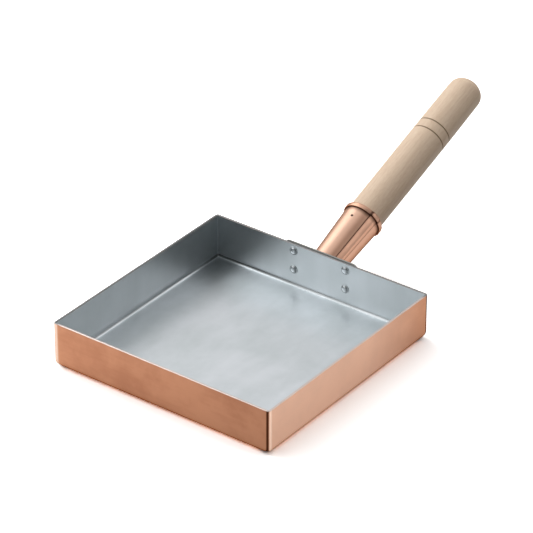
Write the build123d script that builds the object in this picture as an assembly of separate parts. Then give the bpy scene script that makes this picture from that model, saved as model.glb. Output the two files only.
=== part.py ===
from build123d import *
import os
from math import cos, radians, sin

# Square rolled-omelette pan: a folded copper tray, tinned inside, with a riveted socket and a wooden handle.
# Lengths are in millimetres and angles in degrees.
# The origin is the centre of the underside, +Z is up and +Y runs towards the handle.

# Tray
pan_width = 180.0
pan_length = 180.0
wall_height = 34.4
copper_sheet = 1.5
tin_thickness = 0.1
inside_bend_radius = 2.4
inside_corner_radius = 0.4
outside_bend_extra = 0.8
foot_corner_growth = 8.0
rim_edge_radius = 0.35
bend_steps = 6

# Base plate on the back wall
plate_width = 60.4
plate_height = 30.0
plate_thickness = 1.5
plate_rise = 0.5
plate_corner_radius = 3.0
plate_edge_chamfer = 0.4

# Rivets
rivet_spacing = 44.0
rivet_row_gap = 15.0
rivet_top_margin = 5.9
rivet_shank_diameter = 4.0
rivet_brim_diameter = 6.8
rivet_brim_thickness = 0.45
rivet_crown_diameter = 5.0
rivet_crown_height = 0.75
rivet_tail_diameter = 7.0
rivet_tail_height = 1.5
rivet_clearance = 0.05

# Rolled socket
handle_tilt = 20.3
socket_length = 53.7
socket_foot_diameter = 22.9
socket_mouth_diameter = 28.1
socket_sheet = 0.8
lap_start = 43.5
lap_crest_end = 62.0
lap_end = 74.0
hem_width = 3.6
hem_gap = 0.2
fold_steps = 4
hem_notch_width = 0.9
hem_notch_depth = 1.3

# Wooden handle
handle_length = 193.9
tenon_foot_gap = 8.7
tenon_clearance = 0.2
tenon_chamfer = 1.5
grip_diameter = 26.4
grip_widest_share = 0.6
grip_end_diameter = 25.7
grip_end_round = 9.9
oval_share = 0.5523
groove_from_mouth = 81.5
groove_spacing = 8.2
groove_depth = 0.6

# Nail
nail_from_mouth = 11.1
nail_shank_diameter = 1.6
nail_head_diameter = 2.4
nail_head_height = 0.5
nail_head_sink = 0.3
nail_length = 14.0
nail_tip_length = 2.5
nail_clearance = 0.05

# Cutting tools run past the piece by this much
overrun = 5.0

# Places that follow from the sizes
back_face = pan_length / 2
wall_inside = back_face - copper_sheet - tin_thickness
plate_face = back_face + plate_thickness
plate_top = wall_height + plate_rise
plate_middle = plate_top - plate_height / 2
fold_radius = socket_sheet + hem_gap / 2
fold_height = socket_length - fold_radius
flap_end = socket_length - hem_width
nail_height = socket_length - nail_from_mouth

# The faces that the plate and the socket stand on, and the tilted frame of the handle.
# In the handle's frame +Z runs along the handle, +X is the pan's +X and -Y is the upper side.
wall_plane = Plane(origin=(0, back_face, 0), x_dir=(-1, 0, 0), z_dir=(0, 1, 0))
plate_plane = Plane(origin=(0, plate_face, 0), x_dir=(-1, 0, 0), z_dir=(0, 1, 0))
handle_plane = Plane(
    origin=(0, plate_face, plate_middle),
    x_dir=(1, 0, 0),
    z_dir=(0, cos(radians(handle_tilt)), sin(radians(handle_tilt))),
)


def tray_block(grow, top, bend_extra=0, corner_growth=0):
    """The tray's hollow as a solid, grown outwards by grow and reaching up to top.

    The base fold is rounder by bend_extra, and through it the corners get rounder downwards, by
    corner_growth at the underside.
    """
    width = pan_width - 2 * (copper_sheet + tin_thickness - grow)
    length = pan_length - 2 * (copper_sheet + tin_thickness - grow)
    floor = copper_sheet + tin_thickness - grow
    bend = inside_bend_radius + grow + bend_extra
    sections = []
    for step in range(bend_steps + 1):
        turn = radians(90 * step / bend_steps)
        inset = bend * (1 - sin(turn))
        corner = inside_corner_radius + grow + corner_growth * (1 - sin(turn))
        height = floor + bend * (1 - cos(turn))
        outline = RectangleRounded(width - 2 * inset, length - 2 * inset, corner)
        sections.append(Pos(0, 0, height) * outline)
    base = loft(sections)
    walls = extrude(sections[-1], top - floor - bend)
    return base + walls


def rivet_places():
    """Name, x and z of each rivet."""
    upper = plate_top - rivet_top_margin
    rows = {"upper": upper, "lower": upper - rivet_row_gap}
    sides = {"left": -rivet_spacing / 2, "right": rivet_spacing / 2}
    return [(f"rivet_{row}_{side}", sides[side], rows[row]) for row in rows for side in sides]


def rivet_frame(x, z):
    """Frame of one rivet: +Z runs from the inside of the wall outwards."""
    return Plane(origin=(x, wall_inside, z), x_dir=(1, 0, 0), z_dir=(0, 1, 0))


def rivet_holes():
    """Round cutters through lining, wall and plate, one for each rivet."""
    depth = plate_face - wall_inside + 2 * overrun
    radius = rivet_shank_diameter / 2 + rivet_clearance
    bar = Pos(0, 0, -overrun) * Cylinder(radius, depth, align=(Align.CENTER, Align.CENTER, Align.MIN))
    return [rivet_frame(x, z) * bar for _, x, z in rivet_places()]


def pan_body():
    """Copper tray with sharp upright corners, an outside hammered rounder at the foot, and an eased rim."""
    outer = tray_block(copper_sheet + tin_thickness, wall_height, outside_bend_extra, foot_corner_growth)
    rim = outer.faces().sort_by(Axis.Z)[-1]
    outer = fillet(rim.edges(), rim_edge_radius)
    hollow = tray_block(tin_thickness, wall_height + overrun)
    return outer - hollow - rivet_holes()


def tin_lining():
    """Skin of tin over the whole inside of the tray."""
    outer = tray_block(tin_thickness, wall_height)
    hollow = tray_block(0, wall_height + overrun)
    return outer - hollow - rivet_holes()


def socket_base_plate():
    """Flat plate with rounded corners and filed outer edges, riveted to the back wall."""
    outline = RectangleRounded(plate_width, plate_height, plate_corner_radius)
    plate = extrude(wall_plane * Pos(0, plate_middle, 0) * outline, plate_thickness)
    outer_face = plate.faces().sort_by(Axis.Y)[-1]
    plate = chamfer(outer_face.edges(), plate_edge_chamfer)
    return plate - rivet_holes()


def rivet():
    """Rivet along +Z: a crowned head with a brim below zero, the shank, and the hammered tail."""
    grip = plate_face - wall_inside
    shank = rivet_shank_diameter / 2
    brim = rivet_brim_diameter / 2
    crown = rivet_crown_diameter / 2
    tail = rivet_tail_diameter / 2
    brim_low = -rivet_brim_thickness
    crown_low = brim_low - rivet_crown_height
    tail_high = grip + rivet_tail_height
    profile = [
        TangentArc((0, crown_low), (crown, brim_low), tangent=(1, 0)),
        Polyline((crown, brim_low), (brim + brim_low, brim_low), (brim, 0), (shank, 0)),
        Polyline((shank, 0), (shank, grip), (tail, grip)),
        TangentArc((0, tail_high), (tail, grip), tangent=(1, 0)),
        Line((0, tail_high), (0, crown_low)),
    ]
    return revolve(Plane.XZ * make_face(Curve() + profile), Axis.Z)


def around(radius, angle):
    """Point across the handle: the angle runs from the upper side towards +X."""
    turn = radians(angle)
    return Vector(radius * sin(turn), -radius * cos(turn))


def along_circle(angle):
    """Direction of travel round the handle at an angle."""
    return Vector(cos(radians(angle)), sin(radians(angle)))


def socket_radius(height):
    """Outer radius of the rolled cone at a height along the handle."""
    foot = socket_foot_diameter / 2
    mouth = socket_mouth_diameter / 2
    return foot + (mouth - foot) * height / socket_length


def rolled_section(height):
    """Outline of the rolled sheet: round, with one more sheet where its edge laps over the other."""
    low = socket_radius(height)
    high = low + socket_sheet
    lap_middle = (lap_start + lap_crest_end) / 2
    far_side = (lap_start + lap_end) / 2 + 180
    outline = [
        Line(around(low, lap_start), around(high, lap_start)),
        ThreePointArc(around(high, lap_start), around(high, lap_middle), around(high, lap_crest_end)),
        Spline(
            [around(high, lap_crest_end), around(low, lap_end)],
            tangents=[along_circle(lap_crest_end), along_circle(lap_end)],
        ),
        ThreePointArc(around(low, lap_end), around(low, far_side), around(low, lap_start)),
    ]
    return Pos(0, 0, height) * make_face(Curve() + outline)


def hem_section(outward):
    """Half section of the turned-over mouth: the fold in hammered flats, and a flap down the outside."""
    inner = socket_radius(fold_height) - socket_sheet + outward
    wall = inner + socket_sheet
    outer = inner + 2 * fold_radius
    turns = [radians(180 * step / fold_steps) for step in range(fold_steps + 1)]
    fold = [(inner + fold_radius * (1 - cos(turn)), fold_height + fold_radius * sin(turn)) for turn in turns]
    flap = [(outer, flap_end), (wall + hem_gap, flap_end), (wall, fold_height)]
    return Plane.XZ * make_face(Polyline(*fold, *flap, close=True))


def hem_notches():
    """Cutters for the gap at each end of the lap, where the fold was snipped before it was turned."""
    reach = fold_radius + socket_sheet + overrun
    block = Box(reach, hem_notch_width, hem_notch_depth, align=(Align.MIN, Align.CENTER, Align.MAX))
    wall = socket_radius(fold_height)
    return [Rot(0, 0, angle - 90) * Pos(wall, 0, socket_length) * block for angle in (lap_start, lap_end)]


def hem():
    """The hem all round, one sheet further out over the lap."""
    lap_turn = lap_end - lap_start
    plain = revolve(Rot(0, 0, lap_end - 90) * hem_section(0), Axis.Z, 360 - lap_turn)
    raised = revolve(Rot(0, 0, lap_start - 90) * hem_section(socket_sheet), Axis.Z, lap_turn)
    return plain + raised - hem_notches()


def nail_frame():
    """Frame of the nail on the socket's upper side: +Z points out of the socket."""
    return Plane(origin=(0, -socket_radius(nail_height), nail_height), x_dir=(1, 0, 0), z_dir=(0, -1, 0))


def nail_hole():
    """Cutter for the nail: its shank, and a shallow seat that lets the head lie flat on the curved metal."""
    down = (Align.CENTER, Align.CENTER, Align.MAX)
    up = (Align.CENTER, Align.CENTER, Align.MIN)
    shank = Cylinder(nail_shank_diameter / 2 + nail_clearance, nail_length + nail_clearance, align=down)
    seat = Pos(0, 0, -nail_head_sink) * Cylinder(nail_head_diameter / 2 + nail_clearance, overrun, align=up)
    return nail_frame() * (shank + seat)


def handle_socket():
    """Rolled cone with its lap seam and hemmed mouth, cut off along the face of the base plate."""
    below = -socket_foot_diameter / 2
    rolled = loft([rolled_section(below), rolled_section(fold_height)], ruled=True)
    foot_bore = socket_radius(below) - socket_sheet
    mouth_bore = socket_radius(fold_height) - socket_sheet
    height = fold_height - below
    upwards = (Align.CENTER, Align.CENTER, Align.MIN)
    bore = Pos(0, 0, below) * Cone(foot_bore, mouth_bore, height, align=upwards)
    socket = rolled - bore + hem() - nail_hole()
    return split(handle_plane * socket, plate_plane, keep=Keep.TOP)


def wooden_handle():
    """Turned handle: tapered tenon, grip that swells to its widest place, two V grooves and an oval end."""
    fit = socket_sheet + tenon_clearance
    foot = socket_radius(tenon_foot_gap) - fit
    tenon_edge = (foot, tenon_foot_gap + tenon_chamfer)
    neck = (socket_radius(socket_length) - fit, socket_length)
    widest = (grip_diameter / 2, socket_length + grip_widest_share * (handle_length - socket_length))
    end = grip_end_diameter / 2
    shoulder = (end, handle_length - grip_end_round)
    oval = [
        shoulder,
        (end, handle_length - (1 - oval_share) * grip_end_round),
        (oval_share * end, handle_length),
        (0, handle_length),
    ]
    outline = [
        Polyline((0, tenon_foot_gap), (foot - tenon_chamfer, tenon_foot_gap), tenon_edge, neck),
        TangentArc(widest, neck, tangent=(0, -1)),
        TangentArc(widest, shoulder, tangent=(0, 1)),
        Bezier(*oval),
        Line((0, handle_length), (0, tenon_foot_gap)),
    ]
    profile = make_face(Curve() + outline)
    for place in (groove_from_mouth, groove_from_mouth + groove_spacing):
        profile -= Pos(grip_diameter / 2, socket_length + place) * RegularPolygon(groove_depth, 4)
    wood = revolve(Plane.XZ * profile, Axis.Z)
    return handle_plane * (wood - nail_hole())


def handle_nail():
    """Round nail with a pointed tip and a low domed head."""
    shank = nail_shank_diameter / 2
    head = nail_head_diameter / 2
    tip_high = nail_tip_length - nail_length
    top = nail_head_height - nail_head_sink
    profile = [
        Polyline((0, -nail_length), (shank, tip_high), (shank, -nail_head_sink), (head, -nail_head_sink)),
        TangentArc((0, top), (head, -nail_head_sink), tangent=(1, 0)),
        Line((0, top), (0, -nail_length)),
    ]
    nail = revolve(Plane.XZ * make_face(Curve() + profile), Axis.Z)
    return handle_plane * nail_frame() * nail


pieces = {
    "pan_body": pan_body(),
    "tin_lining": tin_lining(),
    "socket_base_plate": socket_base_plate(),
    "handle_socket": handle_socket(),
    "wooden_handle": wooden_handle(),
    "handle_nail": handle_nail(),
}
for name, x, z in rivet_places():
    pieces[name] = rivet_frame(x, z) * rivet()

os.makedirs("parts", exist_ok=True)
for name, shape in pieces.items():
    export_step(shape, f"parts/{name}.step")
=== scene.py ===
import bpy
import numpy as np
from bpy.props import FloatProperty, FloatVectorProperty, PointerProperty
from mathutils import Matrix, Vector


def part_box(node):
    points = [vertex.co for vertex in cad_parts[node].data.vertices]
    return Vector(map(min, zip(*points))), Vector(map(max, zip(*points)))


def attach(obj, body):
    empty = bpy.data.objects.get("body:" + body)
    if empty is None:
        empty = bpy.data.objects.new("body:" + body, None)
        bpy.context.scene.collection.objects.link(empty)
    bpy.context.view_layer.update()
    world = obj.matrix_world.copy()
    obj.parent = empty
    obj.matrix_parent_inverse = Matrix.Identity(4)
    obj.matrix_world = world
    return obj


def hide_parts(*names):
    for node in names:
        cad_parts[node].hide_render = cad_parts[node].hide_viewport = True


bl_info = {
    "name": "Square omelette pan",
    "version": (1, 0, 0),
    "blender": (4, 5, 0),
    "location": "3D View > Sidebar > Omelette pan",
    "description": "Dresses the packed frame of a square copper pan with a tinned inside and a wooden handle",
    "category": "Object",
}

# The fixed frame, and what its solids say about sizes and places. Lengths are in metres.
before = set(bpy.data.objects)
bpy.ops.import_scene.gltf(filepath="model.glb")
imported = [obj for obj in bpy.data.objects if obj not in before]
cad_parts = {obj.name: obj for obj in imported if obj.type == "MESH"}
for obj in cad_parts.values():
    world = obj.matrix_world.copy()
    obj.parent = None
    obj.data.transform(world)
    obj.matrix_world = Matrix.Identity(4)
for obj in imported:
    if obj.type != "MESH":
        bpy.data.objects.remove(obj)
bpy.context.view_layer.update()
tray_low, tray_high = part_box("pan_body")
plate_low, plate_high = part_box("socket_base_plate")
mm = 0.001


def length(name, description, default):
    """A length that a user may change, given in millimetres."""
    return FloatProperty(name=name, description=description, default=default * mm, unit="LENGTH")


def angle(name, description, default):
    """An angle that a user may change, given in degrees."""
    return FloatProperty(name=name, description=description, default=np.radians(default), subtype="ANGLE")


def colour(name, description, default):
    """A surface colour that a user may change."""
    return FloatVectorProperty(name=name, description=description, default=default, subtype="COLOR")


def share(name, description, default):
    """A share from 0 to 1 that a user may change."""
    return FloatProperty(name=name, description=description, default=default, subtype="FACTOR")


def power(name, place, default):
    """The power of a lamp that a user may change, in watts."""
    return FloatProperty(name=name, description=f"Power of the lamp {place}", default=default, unit="POWER")


class TraySizes(bpy.types.PropertyGroup):
    """Sizes of the tray, its lining, the plate behind it and the rivets."""

    sheet: length("Copper sheet", "Thickness of the tray's sheet", 1.5)
    tin: length("Tin", "Thickness of the wiped tin", 0.1)
    inner_bend: length("Inner bend", "Radius between floor and walls, on the tin", 2.4)
    inner_corner: length("Inner corner", "Radius of the upright folds, on the tin", 0.4)
    bend_extra: length("Bend extra", "How much rounder the base bend is outside than the sheet makes it", 0.8)
    foot_growth: length("Foot corner growth", "How much rounder the outer corners get at the underside", 8.0)
    rim_ease: length("Rim ease", "Radius of the rim's filed edges", 0.35)
    wall_bow: length("Wall bow", "How far a wall leans in halfway along", 0.12)
    tin_wave: length("Tin wave", "Height of the slow waves in the wiped tin", 0.05)
    plate_corner: length("Plate corner", "Corner radius of the base plate", 3.0)
    plate_ease: length("Plate ease", "Radius of the base plate's filed edge", 0.4)
    rivet_shank: length("Rivet shank", "Radius of the shank", 2.0)
    rivet_crown: length("Rivet crown", "Radius of the domed middle of a head", 2.5)
    rivet_brim: length("Rivet brim", "Height of the flat rim of a head", 0.45)
    rivet_brim_radius: length("Rivet brim radius", "Radius of the flat rim of a head", 3.4)


class HandleSizes(bpy.types.PropertyGroup):
    """Sizes of the rolled socket, the turned wood and the nail."""

    tilt: angle("Tilt", "Rise of the handle", 20.3)
    socket_length: length("Socket length", "From the plate to the mouth", 53.7)
    foot_radius: length("Foot radius", "Outer radius of the cone at the plate", 11.45)
    mouth_radius: length("Mouth radius", "Outer radius of the cone at the mouth", 14.05)
    sheet: length("Socket sheet", "Thickness of the rolled sheet", 0.8)
    lap_start: angle("Lap start", "Where the lap's edge runs, from the top", 43.5)
    lap_crest: angle("Lap crest", "Where the lap starts to sink", 62.0)
    lap_end: angle("Lap end", "Where the lap has gone", 74.0)
    hem_width: length("Hem width", "Length of the turned-over mouth", 3.6)
    hem_gap: length("Hem gap", "Gap under the turned-over flap", 0.2)
    notch_width: length("Notch width", "Width of the snips in the fold", 0.9)
    notch_depth: length("Notch depth", "Depth of the snips in the fold", 1.3)
    braze: length("Braze", "Size of the braze fillet at the foot", 1.2)
    length: length("Handle length", "From the plate to the end of the wood", 193.9)
    tenon_gap: length("Tenon gap", "From the plate to the foot of the tenon", 8.7)
    tenon_clearance: length("Tenon clearance", "Between wood and socket", 0.2)
    tenon_chamfer: length("Tenon chamfer", "Chamfer at the foot of the tenon", 1.5)
    grip_radius: length("Grip radius", "Radius at the widest place", 13.2)
    widest_share: share("Widest place", "Share of the grip's length", 0.6)
    end_radius: length("End radius", "Radius where the oval end starts", 12.85)
    end_round: length("End round", "Length of the oval end", 9.9)
    groove_place: length("First groove", "From the mouth to the first groove", 81.5)
    groove_spacing: length("Groove spacing", "Between the grooves", 8.2)
    groove_depth: length("Groove depth", "Depth of the grooves", 0.6)
    nail_place: length("Nail place", "From the mouth back to the nail", 11.1)
    nail_radius: length("Nail radius", "Radius of the shank", 0.8)
    nail_head: length("Nail head", "Radius of the head", 1.2)
    nail_sink: length("Nail sink", "How deep the head sits", 0.3)
    nail_dome: length("Nail dome", "Height of the head over the metal", 0.2)
    nail_length: length("Nail length", "From the metal's face to the tip", 14.0)
    nail_tip: length("Nail tip", "Length of the point", 2.5)


class Finishes(bpy.types.PropertyGroup):
    """Colours and gloss of the metals and the wood, and the colours of painted light and shade."""

    copper: colour("Copper", "Polished copper", (0.66, 0.32, 0.19))
    copper_shade: colour("Copper shade", "Duller, redder copper", (0.53, 0.24, 0.14))
    # Painted shade: this colour darkens the copper at the folds, the foot, the walls and the socket's seams,
    # gaps and underside
    copper_painted_shade: colour("Copper dark", "Old copper that the polish misses", (0.05, 0.015, 0.006))
    # Paler copper for the socket, its hem and braze, and the colour of painted highlights on the tray and
    # socket
    copper_pale_and_sheen: colour("Copper rubbed", "Pale copper where it is rubbed most", (0.93, 0.66, 0.52))
    copper_edge: colour("Copper edge", "Tint of copper seen along its surface", (0.15, 0.10, 0.08))
    # Painted light and shade: the rim's tin is painted lighter at the front and right, darker at the back and
    # left
    rim_lit: colour("Bright rim", "Tin over the rim, front and right", (0.80, 0.70, 0.66))
    rim_shaded: colour("Dull rim", "Tin over the rim, back and left", (0.29, 0.30, 0.30))
    rim_plate: colour("Plate rim", "Tin over the top of the base plate", (0.50, 0.50, 0.48))
    tin: colour("Tin", "Wiped tin", (0.82, 0.855, 0.89))
    tin_shade: colour("Tin shade", "Duller tin", (0.62, 0.665, 0.68))
    # Painted shade in the tin's base bend and round the rivets
    tin_painted_shade: colour("Tin dark", "Dirt in the base bend and round the rivets", (0.10, 0.11, 0.11))
    wood: colour("Wood", "Bare wood", (0.89, 0.70, 0.52))
    wood_grain: colour("Wood grain", "Darker grain lines", (0.74, 0.53, 0.37))
    # Painted shade in the wood's grooves and on its underside
    wood_painted_shade: colour("Wood dark", "Dirt in the grooves and underneath", (0.24, 0.14, 0.07))
    nail: colour("Nail", "Dull nail", (0.035, 0.02, 0.014))
    nail_worn: colour("Nail worn", "Paler spots on the nail", (0.12, 0.07, 0.05))
    satin: share("Satin", "Roughness of the tray, the plate and the tin", 0.31)
    socket_satin: share("Socket satin", "Roughness of the socket", 0.42)


class Studio(bpy.types.PropertyGroup):
    """Camera, floor, dark card and light."""

    azimuth: angle("Azimuth", "Camera's turn round the pan", 36.8)
    elevation: angle("Elevation", "Camera's height above the horizon", 31.2)
    distance: length("Distance", "From the camera to the aim", 2336.0)
    aim: FloatVectorProperty(
        name="Aim", description="Point in the middle of the picture", default=(-0.00457, 0.03371, 0.04909),
        subtype="TRANSLATION",
    )
    lens: FloatProperty(name="Lens", description="Focal length", default=233.16, unit="CAMERA")
    floor_reach: length("Floor reach", "From the middle of the floor to its edges", 12000.0)
    floor_drop: length("Floor drop", "Of the floor below the pan's underside", 0.1)
    floor_grey: share("Floor grey", "Grey value of the floor for all but the camera", 0.3)
    card_distance: length("Card distance", "From the pan to the dark card", 2700.0)
    card_reach: length("Card reach", "From the middle of the card to its sides", 2100.0)
    card_height: length("Card height", "Height of the card", 3600.0)
    card_grey: share("Card grey", "Grey value of the card", 0.05)
    room: FloatProperty(name="Room light", description="Strength of the even light", default=0.31)
    soft_box: power("Soft box", "overhead", 8.0)
    side_panel: power("Side panel", "on the left", 12.5)
    right_panel: power("Right panel", "on the right", 1.9)
    back_panel: power("Back panel", "behind", 2.9)
    front_panel: power("Front panel", "in front", 4.4)
    top_panel: power("Top panel", "high up behind", 2.3)


# Place and size of each lamp in metres. Its power has the same name in the studio's values.
LAMPS = {
    "soft_box": ((-0.5, 0.0, 1.68), (2.0, 1.8)),
    "side_panel": ((-1.25, 0.05, 1.0), (1.5, 1.1)),
    "right_panel": ((1.4, 0.42, 0.85), (0.5, 0.5)),
    "back_panel": ((-0.9, 1.36, 1.16), (1.5, 1.5)),
    "front_panel": ((-1.1, -1.3, 1.04), (1.4, 1.2)),
    "top_panel": ((0.35, 1.23, 1.27), (0.9, 0.9)),
}
LAMP_TARGET = (0, 0.05, 0.03)


# Sides that meet at more than this many degrees stay sharp
FOLD_ANGLE = 50

# Rubbing marks in a metre along x, y and z
WALL_RUB = (14, 14, 300)
SOCKET_RUB = (220, 24, 60)


# Surfaces

def eased(corners, radii, steps=6, guard=0.25):
    """Polyline with rounded corners, as an (n, 2) array.

    Each corner with a radius becomes an arc tangent to its two sides. One more point lies on each side,
    a guard share of the radius away, so that the flats stay flat when shaded smooth.
    """
    corners = np.asarray(corners, float)
    points = [corners[:1]]
    for before, corner, after, radius in zip(corners[:-2], corners[1:-1], corners[2:], radii):
        back = (before - corner) / np.linalg.norm(before - corner)
        ahead = (after - corner) / np.linalg.norm(after - corner)
        half = np.arccos(np.clip(back @ ahead, -1, 1)) / 2
        if radius == 0:
            points.append(corner[None])
            continue
        reach = radius / np.tan(half)
        centre = corner + (back + ahead) / np.linalg.norm(back + ahead) * radius / np.sin(half)
        first, last = corner + back * reach - centre, corner + ahead * reach - centre
        start = np.arctan2(first[1], first[0])
        sweep = (np.arctan2(last[1], last[0]) - start + np.pi) % (2 * np.pi) - np.pi
        turn = start + sweep * np.linspace(0, 1, steps + 1)
        arc = centre + radius * np.stack([np.cos(turn), np.sin(turn)], 1)
        points.append(np.concatenate([(arc[0] + back * radius * guard)[None], arc]))
        points.append((arc[-1] + ahead * radius * guard)[None])
    points.append(corners[-1:])
    return np.concatenate(points)


def stretched(points, longest):
    """The same polyline with more points, none further than longest from the next."""
    spans = np.linalg.norm(np.diff(points, axis=0), axis=1)
    counts = np.maximum(np.ceil(spans / longest).astype(int), 1)
    steps = [np.linspace(0, 1, count, endpoint=False)[:, None] for count in counts]
    parts = [a + (b - a) * step for a, b, step in zip(points[:-1], points[1:], steps)]
    return np.concatenate([*parts, points[-1:]])


def ramp(value, start, end):
    """0 before the start, 1 past the end, and a straight line between them."""
    return np.clip((value - start) / (end - start), 0, 1)


def bell(value, middle, width, order=2):
    """1 at the middle, falling off to both sides as exp(-(distance / width) ** order)."""
    return np.exp(-(np.abs((value - middle) / width) ** order))


def lattice(rows, columns, close_rows=False, start=0):
    """Quads between neighbours of a grid whose last column joins its first.

    With close_rows its last row joins its first too.
    """
    row, column = np.meshgrid(np.arange(rows if close_rows else rows - 1), np.arange(columns), indexing="ij")
    row, column = row.ravel(), column.ravel()
    above, beside = (row + 1) % rows, (column + 1) % columns
    corners = [(row, column), (row, beside), (above, beside), (above, column)]
    return start + np.stack([line * columns + place for line, place in corners], 1)


def fan(ring_start, columns, pole, flip):
    """Triangles from a ring of points to the pole that closes it."""
    here = ring_start + np.arange(columns)
    beside = ring_start + (np.arange(columns) + 1) % columns
    middle = np.full(columns, pole)
    return np.stack([beside, here, middle] if flip else [here, beside, middle], 1)


def capped(points):
    """Points and faces of a (rows, columns, 3) grid whose first and last rows each shrink to one point."""
    rows, columns = points.shape[:2]
    poles = np.stack([points[0].mean(0), points[-1].mean(0)])
    body = points[1:-1].reshape(-1, 3)
    low = fan(0, columns, len(body), True)
    high = fan((rows - 3) * columns, columns, len(body) + 1, False)
    return np.concatenate([body, poles]), [lattice(rows - 2, columns), low, high]


def capped_values(values):
    """One value for each point of a capped grid."""
    return np.concatenate([values[1:-1].ravel(), [values[0].mean(), values[-1].mean()]])


def build(name, points, face_blocks, sharp=None, **attributes):
    """Object at the origin from points and blocks of faces.

    It is shaded smooth apart from folds over the sharp angle, in degrees. Each attribute has one value
    for each point.
    """
    mesh = bpy.data.meshes.new(name)
    sizes = np.concatenate([np.full(len(block), block.shape[1]) for block in face_blocks])
    corners = np.concatenate([block.ravel() for block in face_blocks])
    mesh.vertices.add(len(points))
    mesh.vertices.foreach_set("co", np.asarray(points, np.float32).ravel())
    mesh.loops.add(len(corners))
    mesh.loops.foreach_set("vertex_index", corners.astype(np.int32))
    mesh.polygons.add(len(sizes))
    mesh.polygons.foreach_set("loop_start", (np.cumsum(sizes) - sizes).astype(np.int32))
    mesh.polygons.foreach_set("use_smooth", np.ones(len(sizes), bool))
    mesh.update(calc_edges=True)
    for label, values in attributes.items():
        layer = mesh.attributes.new(label, "FLOAT", "POINT")
        layer.data.foreach_set("value", np.asarray(values, np.float32).ravel())
    if sharp:
        mesh.set_sharp_from_angle(angle=np.radians(sharp))
    piece = bpy.data.objects.new(name, mesh)
    bpy.context.scene.collection.objects.link(piece)
    return piece


def hand_over(piece, material, slot, *nodes):
    """Gives a piece its material, hangs it under the root body and hides the solids that it stands for."""
    piece.data.materials.append(material)
    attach(piece, "root")
    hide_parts(*nodes)


def turned(profile, columns):
    """Round surface: each (radius, height) of the profile is carried round +Z."""
    turn = np.linspace(0, 2 * np.pi, columns, endpoint=False)
    radius, height = profile[:, :1], profile[:, 1:]
    return np.stack([radius * np.cos(turn), radius * np.sin(turn), height + 0 * turn], 2)


def placed(points, origin, x_axis, z_axis):
    """Points moved from a local frame to the pan's frame."""
    x_axis, z_axis = np.asarray(x_axis, float), np.asarray(z_axis, float)
    return np.asarray(origin, float) + points @ np.stack([x_axis, np.cross(z_axis, x_axis), z_axis])


def along_handle(points, sizes):
    """Points moved from the handle's frame, whose +Z is its axis and whose -Y is its upper side."""
    origin = (0, plate_high.y, (plate_low.z + plate_high.z) / 2)
    return placed(points, origin, (1, 0, 0), (0, np.cos(sizes.tilt), np.sin(sizes.tilt)))


def rounded_walk(half_x, half_y, near, steps=8):
    """Walk round a rectangle with rounded corners, anticlockwise, as unit parts.

    A point is reach x (half - radius) + turn x radius. near holds the distances from each corner at which
    a side has points. Also gives each point's share along its side, from -1 to 1, and its place past the
    middle of the last corner (plus) or before that of the next one (minus): a length on the flat and an
    angle in the bend.
    """
    bend = np.linspace(0, np.pi / 2, steps + 1)[1:-1]
    reaches, turns, alongs, flats, angles = [], [], [], [], []
    for side in range(4):
        half = half_x if side % 2 == 0 else half_y
        along = np.concatenate([near, 2 * half - near[::-1]]) / half - 1
        reach = np.stack([np.append(along, np.ones_like(bend)), -np.ones(len(along) + len(bend))], 1)
        turn = np.stack([np.append(0 * along, np.sin(bend)), np.append(0 * along - 1, -np.cos(bend))], 1)
        quarter = np.linalg.matrix_power(np.array([[0, 1], [-1, 0]]), side)
        reaches.append(reach @ quarter)
        turns.append(turn @ quarter)
        alongs.append(np.append(along, np.ones_like(bend)))
        flats.append(np.append(np.where(along < 0, along + 1, along - 1) * half, 0 * bend))
        angles.append(np.append(np.where(along < 0, np.pi / 4, -np.pi / 4), bend - np.pi / 4))
    past = np.stack([np.concatenate(flats), np.concatenate(angles)])
    return np.concatenate(reaches), np.concatenate(turns), np.concatenate(alongs), past


def rings(reach, turn, half_x, half_y, corner, height):
    """Rows of a rounded rectangle, one for each half width, half depth, corner radius and height."""
    half = np.stack([half_x - corner, half_y - corner], 1)[:, None, :]
    flat = reach[None] * half + turn[None] * corner[:, None, None]
    tall = np.broadcast_to(height[:, None, None], flat.shape[:2] + (1,))
    return np.concatenate([flat, tall], 2)


def tray_shell(section, corner, sizes):
    """Surface of the folded tray along a section of (half width, height) rows.

    Each row is a rounded square. The walls lean in by a parabola along each side that grows from the base
    bend up, as hand-folded sheet does. Also gives each column's distance along the sheet from the middle
    of the nearest upright fold: plus past the fold, minus before it, walking anticlockwise.
    """
    near = np.concatenate([np.arange(0, 6.1, 0.5), [8, 11, 16, 24, 36, 52, 70]]) * mm
    reach, turn, along, past = rounded_walk(tray_high.x, tray_high.y, near)
    half, height = section[:, 0], section[:, 1]
    points = rings(reach, turn, half, half, np.minimum(corner, half), height)
    rise = np.sqrt(ramp(height, sizes.sheet + sizes.tin + sizes.inner_bend, tray_high.z))
    lean = sizes.wall_bow * (1 - along**2) * (0.8 + 0.2 * np.sin(5 * along + 3 * reach[:, 0]))
    points[:, :, :2] -= turn[None] * (rise[:, None] * lean[None])[:, :, None]
    fold = past[0] + past[1] * (sizes.inner_corner + sizes.tin + sizes.sheet)
    return points, np.broadcast_to(fold, points.shape[:2])


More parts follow.
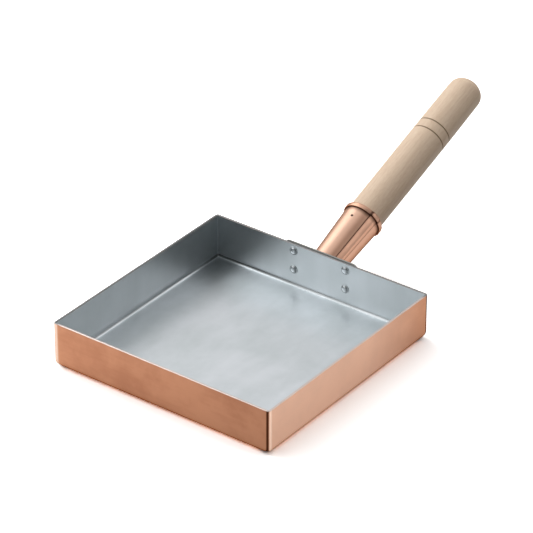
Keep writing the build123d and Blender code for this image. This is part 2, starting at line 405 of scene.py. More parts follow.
def copper_tray(sizes):
    """Closed shell of the copper tray: underside, base bend, outer wall, eased rim, inner wall and floor.

    Through the base bend the outer corner radius grows with how far the section has come in from the wall.
    """
    outer, inner = tray_high.x, tray_high.x - sizes.sheet
    top, ease, floor = tray_high.z, sizes.rim_ease, sizes.sheet
    bend_out = sizes.inner_bend + sizes.sheet + sizes.tin + sizes.bend_extra
    bend_in = sizes.inner_bend + sizes.tin
    corners = [(0, 0), (outer, 0), (outer, top), (inner, top), (inner, floor), (0, floor)]
    section = stretched(eased(corners, [bend_out, ease, ease, bend_in], steps=8, guard=0.12), 8 * mm)
    depth = np.where(section[:, 1] > top - 2 * ease, outer - section[:, 0], 0)
    inside = np.arange(len(section)) > np.argmax(section[:, 1] >= top - 1e-9) + 1
    corner_out = sizes.inner_corner + sizes.sheet + sizes.tin
    drop = np.where(section[:, 1] < bend_out, ramp(section[:, 0], outer, outer - bend_out), 0)
    corner = np.where(inside, corner_out - sizes.sheet, corner_out - depth + sizes.foot_growth * drop)
    return tray_shell(section, corner, sizes)


def tray_painted_shade_and_sheen(points, fold):
    """Painted shade and painted highlights on the tray, each a sum or the largest of bells and ramps.

    A painted dark reflection follows one side of each upright fold, painted shade lies at the corners of
    the foot, and a painted highlight follows the fold's other side. The right wall is painted pale as if
    better lit, least at the back, where it is painted a little darker. The front wall has painted shade
    that grows to the right. Distances from a fold count in millimetres.
    """
    x, y, z = np.moveaxis(points, 2, 0)
    fold = fold / mm
    skin = 1.0 * mm
    on_right = (x > tray_high.x - skin) & ((fold > 0.2) | (fold < -2))
    on_front = (y < tray_low.y + skin) & ((fold > 2) | (fold < -1))
    # Painted dark reflection beside each fold; painted shade at the foot, on the front wall and at the back
    # of the right wall
    seam = bell(fold, -0.95, 1.1, 4) + 0.1 * bell(fold, -3.5, 2.2)
    foot = 0.8 * bell(fold, 0, 2.5) * bell(z, 0, 1.8 * mm)
    shade_to_right = on_front * (0.24 + 0.16 * x / tray_high.x)
    dark = np.max([np.minimum(seam, 1), foot, shade_to_right, on_right * 0.1 * ramp(y, 20 * mm, 80 * mm)], 0)
    # Painted highlight beside each fold, and painted light on the right wall
    lit = on_right * (0.58 - 0.4 * ramp(y, 10 * mm, 85 * mm) ** 1.5)
    return dark, np.maximum(bell(fold, 1.8, 1.5, 4), lit)


def tin_skin(sizes):
    """Closed thin shell of the lining, with slow waves in its floor: a sum of three sines of x and y."""
    outer, inner = tray_high.x - sizes.sheet, tray_high.x - sizes.sheet - sizes.tin
    low, floor = sizes.sheet, sizes.sheet + sizes.tin
    top = tray_high.z - sizes.rim_ease
    bend = sizes.inner_bend
    under = eased([(0, low), (outer, low), (outer, top)], [bend + sizes.tin], steps=8, guard=0.12)
    over = eased([(inner, top), (inner, floor), (0, floor)], [bend], steps=16, guard=0.12)
    under, over = stretched(under, 8 * mm), stretched(over, 8 * mm)
    section = np.concatenate([under, over])
    seen = np.arange(len(section)) >= len(under)
    corner = np.where(seen, sizes.inner_corner, sizes.inner_corner + sizes.tin)
    points, _ = tray_shell(section, corner, sizes)
    x, y = points[..., 0] / mm, points[..., 1] / mm
    wave = np.sin(x / 17 + 0.6 * np.sin(y / 23)) + np.sin(y / 14 + 1) + np.sin((x + y) / 31 + 2)
    inward = ramp(np.abs(points[..., :2]).max(2), inner - bend, inner - bend - 12 * mm)
    points[..., 2] += sizes.tin_wave * (1 + wave / 3) * inward**2 * (3 - 2 * inward) * seen[:, None]
    return points


def lining_painted_shade(points, sizes):
    """Painted shade on the tin: bells and ramps of the height over the floor, counted in bend radii.

    A line of painted shade lies in the base bend, heaviest at the back left, and narrows the bend's
    highlight. The right part of the back wall has a little painted shade that grows to the right.
    """
    x, y, z = np.moveaxis(points, 2, 0)
    height = (z - sizes.sheet - sizes.tin) / sizes.inner_bend
    back = y > np.abs(x)
    to_left = ramp(x, 1.65 * tray_high.x, -0.55 * tray_high.x)
    # Painted shade in the base bend, heaviest at the back left
    bend_shade = np.where(back, 0.08 + 0.85 * to_left**2, np.maximum(0.9 * bell(y, tray_high.y, 22 * mm), 0.25))
    in_bend = bell(height, 0.36, 0.27, 4) * ramp(height, 0.05, 0.13)
    shade_to_right = 0.15 * back * ramp(x, 5 * mm, 60 * mm) * ramp(height, 1, 3)
    return np.maximum(bend_shade * in_bend, shade_to_right)


def base_plate(sizes):
    """Plate with rounded corners and an eased outer edge, in its own frame with +Z away from the wall."""
    half_x, half_z = (plate_high.x - plate_low.x) / 2, (plate_high.z - plate_low.z) / 2
    thick = plate_high.y - plate_low.y
    corners = [(0, 0), (half_x, 0), (half_x, thick), (0, thick)]
    section = stretched(eased(corners, [0, sizes.plate_ease], steps=4), 6 * mm)
    inset = half_x - section[:, 0]
    edge = inset <= sizes.plate_corner
    half_y = np.where(edge, half_z - inset, half_z * section[:, 0] / half_x)
    corner = np.where(edge, sizes.plate_corner - inset, 0)
    near = np.concatenate([np.arange(0, 3.1, 1.0), [6, 10]]) * mm
    reach, turn, _, _ = rounded_walk(half_x, half_z, near, steps=6)
    return rings(reach, turn, section[:, 0], half_y, corner, section[:, 1])


def rivet_profile(sizes, grip, head, tail, tail_radius):
    """Radius and height along a rivet: domed crown, sunk ring, flat brim, shank and hammered tail.

    The crown rises with the power 2.2 of the way round it, and the tail falls off with the power 1.3 of
    its radius squared. Also gives painted shade in the ring and at the foot of the brim.
    """
    crown, shank, lip, brim = sizes.rivet_crown, sizes.rivet_shank, sizes.rivet_brim, sizes.rivet_brim_radius
    ring_start, ring_end = crown + 0.1 * mm, crown + 0.28 * mm
    turn, widest = np.linspace(0, 1, 8), np.pi / 2.6
    dome_radius = crown * np.sin(turn * widest) / np.sin(widest)
    dome = np.stack([dome_radius, -head + (head - lip) * turn**2.2], 1)
    ring = np.array([[ring_start, -lip + 0.14 * mm], [ring_end, -lip + 0.05 * mm]])
    edge = eased([ring[-1], (brim - 0.1 * mm, -lip), (brim, 0), (shank, 0)], [0.15 * mm, 0], steps=3)[1:]
    end = np.linspace(1, 0, 7)
    button = np.stack([tail_radius * np.sqrt(end), grip + tail * (1 - end**1.3)], 1)
    profile = np.concatenate([dome, ring, edge, [[shank, grip], [tail_radius - 0.05 * mm, grip]], button])
    radius, height = profile.T
    # Painted shade in the sunk ring and at the foot of the brim
    recess_shade = np.where((height < 0.1 * mm) & (np.abs(radius - ring_start) < 0.25 * mm), 0.6, 0.0)
    recess_shade = np.where((height > -lip * 0.6) & (radius > brim - 0.3 * mm) & (height < grip / 2), 0.8, recess_shade)
    return profile, recess_shade


def cone_radius(height, sizes):
    """Outer radius of the rolled cone at a height along the handle."""
    return sizes.foot_radius + (sizes.mouth_radius - sizes.foot_radius) * height / sizes.socket_length


def lap_columns(sizes):
    """Angles round the socket, with the lift of wall and hem, as shares of a sheet, and where the snips are.

    The wall steps up at the lap's edge, stays one sheet up to the crest and sinks along half a cosine.
    The hem is one sheet up from edge to end, and a snip opens it at both.
    """
    thin = 0.02 * mm / sizes.mouth_radius
    snip = sizes.notch_width / 2 / sizes.mouth_radius
    start, crest, end = sizes.lap_start, sizes.lap_crest, sizes.lap_end
    around = np.concatenate([
        [start + thin, start + snip - thin],
        np.linspace(start + snip, crest, 6),
        np.linspace(crest, end - snip, 8)[1:],
        [end - snip + thin, end - thin, end + thin, end + snip - thin],
        np.linspace(end + snip, start + 2 * np.pi - snip, 96),
        [start + 2 * np.pi - snip + thin, start + 2 * np.pi - thin],
    ])
    wall = np.where(around < crest, 1, 0.5 + 0.5 * np.cos(np.pi * ramp(around, crest, end)))
    hem = (around < end).astype(float)
    near = np.minimum(np.abs(around - start), np.abs(around - start - 2 * np.pi))
    snipped = np.minimum(near, np.abs(around - end)) < snip - thin / 2
    return around, wall, hem, snipped


def foot_height(radius, around, sizes):
    """Height at which a line of the cone, with that radius at height zero, meets the plate."""
    slope = (sizes.mouth_radius - sizes.foot_radius) / sizes.socket_length
    lean = np.cos(around) * np.sin(sizes.tilt)
    return radius * lean / (np.cos(sizes.tilt) - slope * lean)


def round_handle(radius, around, height):
    """Points of a surface round the handle: the angle runs from the upper side towards +X."""
    return np.stack([radius * np.sin(around), -radius * np.cos(around), height + 0 * radius], 2)


def rolled_socket(sizes):
    """Closed surface of the rolled sheet, carried round the handle, with its dark and pale places.

    A column runs up the outside, under and over the turned-over flap, round the fold, which is a half
    circle, and down the bore. Its foot follows the plate.
    """
    around, wall, hem, snipped = lap_columns(sizes)
    sheet, mouth, gap = sizes.sheet, sizes.socket_length, sizes.hem_gap
    fold = sheet + gap / 2
    fold_height, flap_end, notch_foot = mouth - fold, mouth - sizes.hem_width, mouth - sizes.notch_depth
    inner = cone_radius(fold_height, sizes) - sheet
    flap_face = inner + 2 * fold

    foot = foot_height(sizes.foot_radius + sheet * wall, around, sizes)
    outer_height = foot + (flap_end + 0.4 * mm - foot) * np.linspace(0, 1, 14)[:, None]
    outer_radius = cone_radius(outer_height, sizes) + sheet * wall

    slit_height = np.array([fold_height - 0.6 * mm, flap_end + 0.25 * mm, flap_end])[:, None] + 0 * around
    slit_gap = np.array([0.05 * mm, gap, gap])[:, None]
    slit_radius = cone_radius(slit_height, sizes) + sheet * np.maximum(wall, hem) + slit_gap

    lift = sheet * hem
    ease = 0.25 * mm
    flap = np.array([
        [flap_face - ease, flap_end],
        [flap_face - 0.3 * ease, flap_end + 0.3 * ease],
        [flap_face, flap_end + ease],
        [flap_face, notch_foot - 0.02 * mm],
        [flap_face, notch_foot],
    ])
    turn = np.linspace(0, np.pi, 11)[:, None]
    arc_radius = inner + fold * (1 + np.cos(turn)) + lift * (0.5 + 0.5 * np.cos(turn))
    arc_height = fold_height + fold * np.sin(turn) + 0 * around
    flap_radius = np.concatenate([flap[:, :1] + lift, arc_radius])
    flap_height = np.concatenate([flap[:, 1:] + 0 * around, arc_height])
    cut = snipped & (flap_height > notch_foot - 0.01 * mm)
    cut_radius = np.minimum(flap_radius, cone_radius(flap_height, sizes) + sheet * wall)
    flap_radius = np.where(cut, cut_radius, flap_radius)

    bore_foot = foot_height(sizes.foot_radius - sheet, around, sizes)
    bore_height = fold_height + (bore_foot - fold_height) * np.linspace(0, 1, 8)[1:, None]
    bore_radius = cone_radius(bore_height, sizes) - sheet

    strips = [outer_height, slit_height, flap_height, bore_height]
    radius = np.concatenate([outer_radius, slit_radius, flap_radius, bore_radius])
    points = round_handle(radius, around, np.concatenate(strips)).reshape(-1, 3)
    dark, pale = socket_tone_shade_and_sheen(around, hem, cut, [len(strip) for strip in strips], sizes)
    return points, lattice(len(radius), len(around), close_rows=True), dark.ravel(), pale.ravel()


def socket_tone_shade_and_sheen(around, hem, cut, rows, sizes):
    """How dark and how pale the socket is, on its rows of outside, slit, flap and bore.

    Painted shadow lines run along both edges of the lap, and painted shade lies in the slit, the snips,
    the bore and underneath. The flank that faces the left has a painted highlight. The outside is a
    little paler copper, and the hem more so.
    """
    to_step = np.minimum(np.abs(around - sizes.lap_start), np.abs(around - sizes.lap_start - 2 * np.pi))
    to_end = np.abs(around - sizes.lap_end)
    reach = 0.3 * mm / sizes.mouth_radius
    seam = bell(to_step, 0, reach) + 0.7 * bell(to_end, 0, reach)
    snips = bell(np.minimum(to_step, to_end), 0, 3 * reach)
    from_top = (around + np.pi) % (2 * np.pi) - np.pi
    flank = (1 - hem) * ramp(from_top, 0.55, 0.1) * ramp(from_top, -1.7, -1.4)
    under = ramp(np.abs(from_top), 1.75, 2.2)
    none, full = np.zeros_like(around), np.ones_like(around)
    outer, slit, flap, bore = rows
    # Painted shadow along the lap's edges, and painted shade in the slit, snips and bore and underneath
    dark = [np.maximum(seam, 0.2 * flank + 0.6 * under), full, 0.15 + 0.75 * snips, 0.5 * full]
    dark = np.repeat(dark, [outer - 1, slit + 1, flap, bore], axis=0)
    dark[outer + slit : outer + slit + flap][cut] = 0.9
    # Paler copper on the outside and hem, and a painted highlight on the left flank
    pale = [0.35 + 0.35 * flank, none, 0.4 * full, none]
    return dark, np.repeat(pale, [outer, slit + 1, flap - 1, bore], axis=0)


def braze_ring(sizes, start):
    """Hollow fillet of braze round the foot: a quarter curve from the plate up to the cone."""
    around, wall, _, _ = lap_columns(sizes)
    foot_radius = sizes.foot_radius + sizes.sheet * wall
    foot = foot_height(foot_radius, around, sizes)
    part = np.linspace(0, 1, 6)[:, None]
    bead = sizes.braze * (0.9 + 0.15 * np.sin(3 * around) + 0.1 * np.sin(7 * around + 1))
    up, out = bead * part**2, bead * (1 - part) ** 2
    radius = cone_radius(foot + up, sizes) + sizes.sheet * wall + out * np.cos(sizes.tilt)
    height = foot + up + out * np.cos(around) * np.sin(sizes.tilt)
    inside = foot_radius - 0.2 * mm
    radius = np.concatenate([radius, [inside, inside]])
    height = np.concatenate([height, [foot + bead / 2, foot]])
    points = round_handle(radius, around, height)
    return points.reshape(-1, 3), lattice(len(radius), len(around), close_rows=True, start=start)


def wood_profile(sizes):
    """Radius and height along the turned wood, and the painted shade in its grooves, from how deep each place
    is.

    Tenon and chamfer are straight, the grip is two arcs that meet at the widest place, and the end is a
    quarter ellipse. Each groove is a V with its edges rubbed round.
    """
    fit = sizes.sheet + sizes.tenon_clearance
    foot, gap, chamfer = cone_radius(sizes.tenon_gap, sizes) - fit, sizes.tenon_gap, sizes.tenon_chamfer
    mouth, tip = sizes.socket_length, sizes.length
    neck = cone_radius(mouth, sizes) - fit
    widest = mouth + sizes.widest_share * (tip - mouth)
    shoulder = tip - sizes.end_round
    tenon = np.array([(0, gap), (foot / 2, gap), (foot - chamfer, gap), (foot, gap + chamfer)])
    shank = np.stack([np.linspace(foot, neck, 8)[1:], np.linspace(gap + chamfer, mouth, 8)[1:]], 1)
    places = mouth + sizes.groove_place + sizes.groove_spacing * np.arange(2)
    close = (places[:, None] + np.linspace(-1, 1, 17) * mm).ravel()
    spread = np.linspace(mouth, shoulder, 60)[1:]
    clear = np.abs(spread[:, None] - places).min(1) > 1.3 * mm
    height = np.sort(np.concatenate([spread[clear], close]))
    drop = np.where(height < widest, sizes.grip_radius - neck, sizes.grip_radius - sizes.end_radius)
    reach = np.where(height < widest, widest - mouth, shoulder - widest)
    bow = (reach**2 + drop**2) / (2 * drop)
    radius = sizes.grip_radius - bow + np.sqrt(bow**2 - (height - widest) ** 2)
    away = np.abs(height[:, None] - places).min(1)
    soft = np.sqrt(away**2 + (0.12 * mm) ** 2)
    depth = np.clip(sizes.groove_depth - soft, 0, None)
    grip = np.stack([radius - depth, height], 1)
    turn = np.linspace(0, np.pi / 2, 15)[1:]
    oval = np.stack([sizes.end_radius * np.cos(turn), shoulder + sizes.end_round * np.sin(turn)], 1)
    profile = np.concatenate([tenon, shank, grip, oval])
    shadow = np.zeros(len(profile))
    shadow[len(tenon) + len(shank):][:len(grip)] = np.clip(depth / sizes.groove_depth * 1.6, 0, 1)
    return profile, shadow


def nail_profile(sizes):
    """Radius and height along the nail: a conical point, a straight shank and a quarter oval for its head."""
    turn = np.linspace(0, np.pi / 2, 7)
    rise = -sizes.nail_sink + (sizes.nail_dome + sizes.nail_sink) * np.sin(turn)
    dome = np.stack([sizes.nail_head * np.cos(turn), rise], 1)
    shoulder = sizes.nail_tip - sizes.nail_length
    shank = [(0, -sizes.nail_length), (sizes.nail_radius, shoulder), (sizes.nail_radius, -sizes.nail_sink)]
    return np.concatenate([shank, dome])


# Materials

def new_material(name):
    """Material with only an output and a Principled shader, and its node tree."""
    material = bpy.data.materials.new(name)
    material.use_nodes = True
    tree = material.node_tree
    tree.nodes.clear()
    shader = tree.nodes.new("ShaderNodeBsdfPrincipled")
    output = tree.nodes.new("ShaderNodeOutputMaterial")
    tree.links.new(shader.outputs[0], output.inputs["Surface"])
    return material, tree, shader


def join(tree, value, socket):
    """Links a socket, or sets a plain value. A colour is set with full alpha."""
    if isinstance(value, bpy.types.NodeSocket):
        tree.links.new(value, socket)
    elif socket.type == "RGBA":
        socket.default_value = (*value, 1)
    else:
        socket.default_value = value


def fill(tree, node, **inputs):
    """Joins a value to each of a node's named inputs."""
    for key, value in inputs.items():
        join(tree, value, node.inputs[key.replace("_", " ")])


def add(tree, kind, settings=None, **inputs):
    """New node with its settings and named inputs."""
    node = tree.nodes.new("ShaderNode" + kind)
    for key, value in (settings or {}).items():
        setattr(node, key, value)
    fill(tree, node, **inputs)
    return node


def object_place(tree):
    """Place on the piece in metres."""
    return add(tree, "TexCoord").outputs["Object"]


def from_mesh(tree, name):
    """A value that the mesh carries at its points."""
    return add(tree, "Attribute", {"attribute_name": name}).outputs["Fac"]


def scaled(tree, vector, scale):
    """A vector multiplied by a scale for each axis."""
    node = add(tree, "VectorMath", {"operation": "MULTIPLY"})
    join(tree, vector, node.inputs[0])
    join(tree, scale, node.inputs[1])
    return node.outputs[0]


def noise(tree, place, scale, detail=2.0, roughness=0.5):
    """Noise from 0 to 1 at a scale in patches a metre."""
    return add(tree, "TexNoise", Vector=place, Scale=scale, Detail=detail, Roughness=roughness).outputs["Fac"]


def level(tree, value, low, high, out_low=0.0, out_high=1.0):
    """A value taken from one range to another along an S curve, and held at the ends."""
    node = add(tree, "MapRange", {"interpolation_type": "SMOOTHSTEP"})
    fill(tree, node, Value=value, From_Min=low, From_Max=high, To_Min=out_low, To_Max=out_high)
    return node.outputs[0]


def reckon(tree, operation, *values):
    """A Math node."""
    node = add(tree, "Math", {"operation": operation})
    for value, socket in zip(values, node.inputs):
        join(tree, value, socket)
    return node.outputs[0]


def mixed(tree, part, first, second):
    """Two colours mixed: a part of 0 gives the first and 1 the second."""
    node = add(tree, "Mix", {"data_type": "RGBA"})
    join(tree, part, node.inputs[0])
    join(tree, first, node.inputs[6])
    join(tree, second, node.inputs[7])
    return node.outputs[2]


def mixed_value(tree, part, first, second):
    """Two numbers mixed: a part of 0 gives the first and 1 the second."""
    node = add(tree, "Mix", {"data_type": "FLOAT"})
    join(tree, part, node.inputs[0])
    join(tree, first, node.inputs[2])
    join(tree, second, node.inputs[3])
    return node.outputs[0]


def bumped(tree, height, strength, distance, **over):
    """Normal of a surface raised by a height, over another normal if one is given."""
    return add(tree, "Bump", Strength=strength, Distance=distance, Height=height, **over).outputs[0]


def tinned_rim(tree, place, metal, tinned_from, front_tin, back_tin):
    """A metal with the tin that ran over its upper edge, down to about half a millimetre under a height.

    The tin is painted lighter at the front and the right and darker at the back and the left, as painted
    light and shade.
    """
    axes = add(tree, "SeparateXYZ", Vector=place).outputs
    run = reckon(tree, "MULTIPLY_ADD", noise(tree, place, 110), 0.5 * mm, axes[2])
    rim = level(tree, run, tinned_from - 0.4 * mm, tinned_from + 0.2 * mm)
    backwards = reckon(tree, "MAXIMUM", axes[1], reckon(tree, "MULTIPLY", axes[0], -1))
    back = level(tree, backwards, tray_high.y - 8 * mm, tray_high.y - 2 * mm)
    # Painted light at the front and right, painted shade at the back and left
    return mixed(tree, rim, metal, mixed(tree, back, front_tin, back_tin))


def copper_metal(name, finishes, roughness, rub, tinned_from=None, back_rim=None):
    """Softly polished copper: cloudy tone, and fine marks, with the rub's number in a metre on each axis.

    The mesh says where painted shade darkens it, and where painted highlights or its own paler tone make
    it paler. From the tinned height up it is covered by tin, whose colour at the back may be given.
    """
    material, tree, shader = new_material(name)
    place = object_place(tree)
    cloud = noise(tree, place, 28, detail=4, roughness=0.6)
    patch = noise(tree, scaled(tree, place, rub), 1, detail=3, roughness=0.6)
    tone = level(tree, reckon(tree, "ADD", reckon(tree, "MULTIPLY", patch, 0.25), cloud), 0.45, 0.8)
    metal = mixed(tree, tone, finishes.copper_shade, finishes.copper)
    # Paler copper and painted highlights, where the mesh says
    metal = mixed(tree, from_mesh(tree, "pale"), metal, finishes.copper_pale_and_sheen)
    # Painted shade, where the mesh says
    metal = mixed(tree, from_mesh(tree, "dark"), metal, finishes.copper_painted_shade)
    if tinned_from is not None:
        back_tin = back_rim or finishes.rim_shaded
        metal = tinned_rim(tree, place, metal, tinned_from, finishes.rim_lit, back_tin)
    grain = noise(tree, scaled(tree, place, tuple(6 * value for value in rub)), 1, roughness=0.6)
    soft = bumped(tree, noise(tree, place, 30, detail=1), 0.25, 0.4 * mm)
    fill(
        tree, shader, Base_Color=metal, Metallic=1, Specular_Tint=finishes.copper_edge,
        Roughness=level(tree, patch, 0.3, 0.7, roughness - 0.02, roughness + 0.03),
        Normal=bumped(tree, grain, 0.035, 0.05 * mm, Normal=soft),
    )
    return material


def wiped_tin(name, finishes):
    """Hand-wiped tin: cloudy satin, with soft upright streaks on the walls and long wipes on the floor.

    The walls are darker than the floor, and the mesh says where shade is painted.
    """
    material, tree, shader = new_material(name)
    place = object_place(tree)
    height = add(tree, "SeparateXYZ", Vector=place).outputs[2]
    on_wall = level(tree, height, 2.2 * mm, 5 * mm)
    streak = noise(tree, scaled(tree, place, (90, 90, 14)), 1)
    wipe = noise(tree, scaled(tree, place, (48, 16, 10)), 1, detail=3, roughness=0.55)
    cloud = noise(tree, place, 22, detail=4, roughness=0.6)
    mark = mixed_value(tree, on_wall, wipe, streak)
    tone = reckon(tree, "MULTIPLY_ADD", mark, 0.35, reckon(tree, "MULTIPLY", cloud, 0.65))
    metal = mixed(tree, level(tree, tone, 0.25, 0.75), finishes.tin_shade, finishes.tin)
    metal = mixed(tree, reckon(tree, "MULTIPLY", on_wall, 0.6), metal, finishes.tin_shade)
    soft = bumped(tree, cloud, 0.15, 0.5 * mm)
    fill(
        tree, shader, Base_Color=mixed(tree, from_mesh(tree, "dark"), metal, finishes.tin_painted_shade), Metallic=1,
        Roughness=level(tree, tone, 0.3, 0.7, finishes.satin + 0.05, finishes.satin - 0.02),
        Normal=bumped(tree, mark, 0.08, 0.1 * mm, Normal=soft),
    )
    return material


def bare_wood(name, finishes, tilt):
    """Pale turned wood: broad bands and fine lines of grain along the handle, and short pores.

    The mesh says where shade is painted: in the grooves and on the underside.
    """
    material, tree, shader = new_material(name)
    place = add(tree, "Mapping", Vector=object_place(tree), Rotation=(-tilt, 0, 0)).outputs[0]
    bands = noise(tree, scaled(tree, place, (60, 4, 60)), 1, detail=3, roughness=0.6)
    lines = noise(tree, scaled(tree, place, (800, 40, 800)), 1, detail=3, roughness=0.65)
    pores = noise(tree, scaled(tree, place, (1500, 260, 1500)), 1, roughness=0.6)
    fibre = reckon(tree, "MULTIPLY_ADD", pores, 0.35, reckon(tree, "MULTIPLY", lines, 0.4))
    tone = reckon(tree, "MULTIPLY_ADD", bands, 0.25, fibre)
    timber = mixed(tree, level(tree, tone, 0.3, 0.66), finishes.wood_grain, finishes.wood)
    fill(
        tree, shader, Base_Color=mixed(tree, from_mesh(tree, "dark"), timber, finishes.wood_painted_shade),
        Roughness=level(tree, lines, 0.3, 0.7, 0.58, 0.48), Specular_IOR_Level=0.5,
        Normal=bumped(tree, lines, 0.25, 0.1 * mm),
    )
    return material


def dull_nail(name, finishes):
    """Dull, dark and slightly pitted metal."""
    material, tree, shader = new_material(name)
    pits = noise(tree, object_place(tree), 2400)
    fill(
        tree, shader, Base_Color=mixed(tree, pits, finishes.nail, finishes.nail_worn), Metallic=0.4,
        Roughness=level(tree, pits, 0.3, 0.7, 0.5, 0.65), Normal=bumped(tree, pits, 0.2, 0.05 * mm),
    )
    return material


def pale_floor(name, grey):
    """Matt floor that shows white to the camera and keeps the pan's shadow.

    Reflected in the metal it is pale and glows a little by itself, so that the shadow shows less there.
    """
    material, tree, shader = new_material(name)
    rays = add(tree, "LightPath").outputs
    mirrored = reckon(tree, "MAXIMUM", rays["Is Glossy Ray"], rays["Is Transmission Ray"])
    tone = mixed(tree, rays["Is Camera Ray"], (grey, grey, grey), (2.1, 2.1, 2.1))
    fill(
        tree, shader, Base_Color=mixed(tree, mirrored, tone, (0.8, 0.8, 0.8)), Roughness=1,
        Specular_IOR_Level=0, Emission_Color=(1, 1, 1),
        Emission_Strength=reckon(tree, "MULTIPLY", mirrored, 0.54),
    )
    return material


def grey_card(name, grey):
    """Matt dark card, for the dark reflections that the side of the camera gives."""
    material, tree, shader = new_material(name)
    fill(tree, shader, Base_Color=(grey, grey, grey), Roughness=0.9)
    return material


# Operators

class PAN_OT_tray(bpy.types.Operator):
    """Build the copper tray over its solid"""

    bl_idname = "omelette_pan.tray"
    bl_label = "Copper tray"

    def execute(self, context):
        finishes = context.scene.pan_finishes
        points, fold = copper_tray(context.scene.pan_tray)
        # Painted shade and painted highlights on the copper
        dark, pale = tray_painted_shade_and_sheen(points, fold)
        piece = build("tray", *capped(points), dark=capped_values(dark), pale=capped_values(pale))
        material = copper_metal("tray_copper", finishes, finishes.satin, WALL_RUB, tray_high.z)
        hand_over(piece, material, "pan_copper", "pan_body")
        return {"FINISHED"}


class PAN_OT_lining(bpy.types.Operator):
    """Build the wiped tin inside the tray"""

    bl_idname = "omelette_pan.lining"
    bl_label = "Tin lining"

    def execute(self, context):
        scene = context.scene
        points = tin_skin(scene.pan_tray)
        dark = capped_values(lining_painted_shade(points, scene.pan_tray))
        piece = build("wiped_lining", *capped(points), sharp=FOLD_ANGLE, dark=dark)
        hand_over(piece, wiped_tin("wiped_tin", scene.pan_finishes), "wiped_tin", "tin_lining")
        return {"FINISHED"}


class PAN_OT_plate(bpy.types.Operator):
    """Build the base plate on the back wall"""

    bl_idname = "omelette_pan.plate"
    bl_label = "Base plate"

    def execute(self, context):
        finishes = context.scene.pan_finishes
        middle = (0, plate_low.y, (plate_low.z + plate_high.z) / 2)
        vertices, faces = capped(base_plate(context.scene.pan_tray))
        piece = build("base_plate", placed(vertices, middle, (1, 0, 0), (0, 1, 0)), faces, sharp=FOLD_ANGLE)
        material = copper_metal(
            "plate_copper", finishes, finishes.satin, WALL_RUB, plate_high.z - 1.0 * mm, finishes.rim_plate
        )
        hand_over(piece, material, "plate_copper", "socket_base_plate")
        return {"FINISHED"}


class PAN_OT_rivets(bpy.types.Operator):
    """Build the four rivets, each at its own solid"""

    bl_idname = "omelette_pan.rivets"
    bl_label = "Rivets"

    def execute(self, context):
        sizes = context.scene.pan_tray
        material = wiped_tin("rivet_tin", context.scene.pan_finishes)
        inside = tray_high.y - sizes.sheet - sizes.tin
        grip = plate_high.y - inside
        columns = 40
        for node in sorted(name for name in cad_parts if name.startswith("rivet_")):
            low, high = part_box(node)
            middle = (low + high) / 2
            head, tail, tail_radius = inside - low.y, high.y - plate_high.y, (high.x - low.x) / 2
            profile, recess_shade = rivet_profile(sizes, grip, head, tail, tail_radius)
            vertices, faces = capped(turned(profile, columns))
            vertices = placed(vertices, (middle.x, inside, middle.z), (1, 0, 0), (0, 1, 0))
            # Painted shade from the profile
            dark = capped_values(np.broadcast_to(recess_shade[:, None], (len(recess_shade), columns)))
            piece = build(node.replace("rivet", "tinned_rivet"), vertices, faces, dark=dark)
            hand_over(piece, material, "tinned_rivets", node)
        return {"FINISHED"}


class PAN_OT_socket(bpy.types.Operator):
    """Build the rolled socket with its lap seam, hem and braze"""

    bl_idname = "omelette_pan.socket"
    bl_label = "Rolled socket"

    def execute(self, context):
        sizes, finishes = context.scene.pan_handle, context.scene.pan_finishes
        sheet, sheet_faces, dark, pale = rolled_socket(sizes)
        braze, braze_faces = braze_ring(sizes, len(sheet))
        vertices = along_handle(np.concatenate([sheet, braze]), sizes)
        dark = np.concatenate([dark, np.zeros(len(braze))])
        pale = np.concatenate([pale, np.full(len(braze), 0.8)])
        piece = build("rolled_socket", vertices, [sheet_faces, braze_faces], sharp=40, dark=dark, pale=pale)
        material = copper_metal("socket_copper", finishes, finishes.socket_satin, SOCKET_RUB)
        hand_over(piece, material, "socket_copper", "handle_socket")
        return {"FINISHED"}


class PAN_OT_wood(bpy.types.Operator):
    """Build the turned wooden handle"""

    bl_idname = "omelette_pan.wood"
    bl_label = "Wooden handle"

    def execute(self, context):
        sizes = context.scene.pan_handle
        profile, shadow = wood_profile(sizes)
        points = turned(profile, 96)
        vertices, faces = capped(points)
        lowness = points[..., 1] / np.maximum(np.hypot(points[..., 0], points[..., 1]), 0.1 * mm)
        # Painted shade in the grooves and on the underside
        dark = np.maximum(shadow[:, None], 0.28 * ramp(lowness, -0.64, -0.17))
        vertices = along_handle(vertices, sizes)
        piece = build("turned_handle", vertices, faces, sharp=FOLD_ANGLE, dark=capped_values(dark))
        material = bare_wood("bare_wood", context.scene.pan_finishes, sizes.tilt)
        hand_over(piece, material, "bare_wood", "wooden_handle")
        return {"FINISHED"}


class PAN_OT_nail(bpy.types.Operator):
    """Build the nail that holds the wood in the socket"""

    bl_idname = "omelette_pan.nail"
    bl_label = "Nail"

    def execute(self, context):
        sizes = context.scene.pan_handle
        height = sizes.socket_length - sizes.nail_place
        vertices, faces = capped(turned(nail_profile(sizes), 24))
        on_socket = placed(vertices, (0, -cone_radius(height, sizes), height), (1, 0, 0), (0, -1, 0))
        piece = build("socket_nail", along_handle(on_socket, sizes), faces, sharp=FOLD_ANGLE)
        hand_over(piece, dull_nail("nail_metal", context.scene.pan_finishes), "nail_iron", "handle_nail")
        return {"FINISHED"}


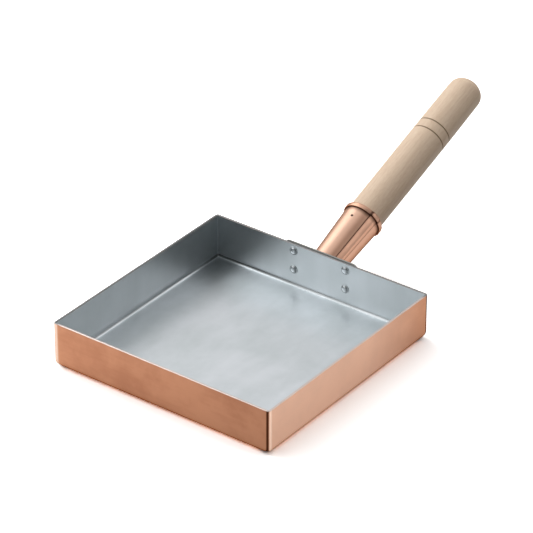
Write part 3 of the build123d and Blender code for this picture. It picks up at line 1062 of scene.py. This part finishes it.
class PAN_OT_studio(bpy.types.Operator):
    """Set up the floor, the light and the camera"""

    bl_idname = "omelette_pan.studio"
    bl_label = "Studio"

    def execute(self, context):
        scene = context.scene
        studio = scene.pan_studio
        reach, low = studio.floor_reach, -studio.floor_drop
        corners = [(-reach, -reach, low), (reach, -reach, low), (reach, reach, low), (-reach, reach, low)]
        self.flat("floor", corners, pale_floor("floor_paper", studio.floor_grey))

        side, high, turn = studio.card_reach, studio.card_height, studio.azimuth
        corners = np.array([(-side, 0, 0), (side, 0, 0), (side, 0, high), (-side, 0, high)], float)
        across = (np.cos(turn), np.sin(turn), 0)
        behind = (studio.card_distance * np.sin(turn), -studio.card_distance * np.cos(turn), 0)
        corners = placed(corners, behind, across, (0, 0, 1))
        card = self.flat("dark_card", corners, grey_card("dark_card", studio.card_grey))
        card.visible_camera = False

        scene.world = bpy.data.worlds.new("room")
        scene.world.use_nodes = True
        background = scene.world.node_tree.nodes["Background"]
        background.inputs["Color"].default_value = (1, 1, 1, 1)
        background.inputs["Strength"].default_value = studio.room

        for name, (place, size) in LAMPS.items():
            self.lamp(name, place, size, getattr(studio, name))
        self.camera(scene, studio)
        scene.view_settings.view_transform = "Standard"
        return {"FINISHED"}

    @staticmethod
    def flat(name, corners, material):
        """A flat four-cornered part of the stage."""
        thing = build(name, corners, [np.array([[0, 1, 2, 3]])])
        thing.data.materials.append(material)
        return thing

    @staticmethod
    def aimed(name, data, place, target):
        """Lamp or camera at a place, looking at a target."""
        away = np.asarray(place, float) - np.asarray(target, float)
        away /= np.linalg.norm(away)
        side = np.cross((0, 0, 1), away)
        side /= np.linalg.norm(side)
        matrix = np.eye(4)
        matrix[:3] = np.stack([side, np.cross(away, side), away, place], 1)
        thing = bpy.data.objects.new(name, data)
        bpy.context.scene.collection.objects.link(thing)
        thing.matrix_world = Matrix(matrix.tolist())
        return thing

    def lamp(self, name, place, size, watts):
        """A large rectangular lamp that looks at the pan."""
        data = bpy.data.lights.new(name, "AREA")
        data.shape = "RECTANGLE"
        data.size, data.size_y = size
        data.energy = watts
        self.aimed(name, data, place, LAMP_TARGET)

    def camera(self, scene, studio):
        """The camera of the photograph."""
        turn, rise = studio.azimuth, studio.elevation
        back = np.array([np.sin(turn) * np.cos(rise), -np.cos(turn) * np.cos(rise), np.sin(rise)])
        data = bpy.data.cameras.new("camera")
        data.lens = studio.lens
        data.sensor_width = 36.0
        data.clip_start, data.clip_end = 0.01, 100.0
        place = np.array(studio.aim) + back * studio.distance
        scene.camera = self.aimed("camera", data, place, studio.aim)


STEPS = (
    PAN_OT_studio,
    PAN_OT_tray,
    PAN_OT_lining,
    PAN_OT_plate,
    PAN_OT_rivets,
    PAN_OT_socket,
    PAN_OT_wood,
    PAN_OT_nail,
)


class PAN_PT_steps(bpy.types.Panel):
    """Sidebar panel that lists the steps and their values"""

    bl_label = "Omelette pan"
    bl_idname = "PAN_PT_steps"
    bl_space_type = "VIEW_3D"
    bl_region_type = "UI"
    bl_category = "Omelette pan"

    def draw(self, context):
        scene = context.scene
        for step in STEPS:
            self.layout.operator(step.bl_idname)
        for group in (scene.pan_tray, scene.pan_handle, scene.pan_finishes, scene.pan_studio):
            box = self.layout.box()
            for name in group.bl_rna.properties.keys():
                if name not in ("rna_type", "name"):
                    box.prop(group, name)


GROUPS = {"pan_tray": TraySizes, "pan_handle": HandleSizes, "pan_finishes": Finishes, "pan_studio": Studio}


def register():
    """Adds the property groups, the operators and the panel."""
    for name, group in GROUPS.items():
        bpy.utils.register_class(group)
        setattr(bpy.types.Scene, name, PointerProperty(type=group))
    for step in (*STEPS, PAN_PT_steps):
        bpy.utils.register_class(step)


def unregister():
    """Takes away what register adds."""
    for step in reversed((*STEPS, PAN_PT_steps)):
        bpy.utils.unregister_class(step)
    for name, group in reversed(GROUPS.items()):
        delattr(bpy.types.Scene, name)
        bpy.utils.unregister_class(group)


def main():
    """Runs every step in order."""
    register()
    for step in STEPS:
        group, name = step.bl_idname.split(".")
        getattr(getattr(bpy.ops, group), name)()


if __name__ == "__main__":
    main()
